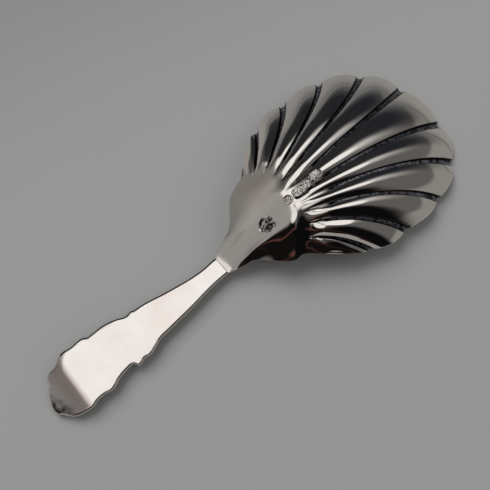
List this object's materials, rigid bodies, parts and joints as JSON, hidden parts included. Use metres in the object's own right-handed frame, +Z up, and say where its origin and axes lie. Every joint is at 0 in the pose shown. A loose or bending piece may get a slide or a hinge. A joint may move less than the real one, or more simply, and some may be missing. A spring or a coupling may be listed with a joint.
{
  "type": "tea caddy spoon",
  "caption": "Short silver spoon with a broad fluted scallop-shell bowl and a flat shaped handle, for measuring and serving loose tea.",
  "frame": {"origin": "centre of the spoon's outline in plan, on the table that it lies on", "axes": "+X along the spoon from the tip of the handle to the nose of the bowl, +Y across it, +Z up from the table, through the backs of bowl and handle"},
  "size_m": [0.0896, 0.0348, 0.0109],
  "materials": {
    "shell_bowl": "polished silver with dark oxidised grooves between the flutes",
    "handle": "satin silver with fine wear scratches",
    "solder_seam": "filed silver solder"
  },
  "bodies": {
    "root": {"shell_bowl": "shell_bowl", "handle": "handle", "solder_seam": "solder_seam"}
  },
  "joints": []
}
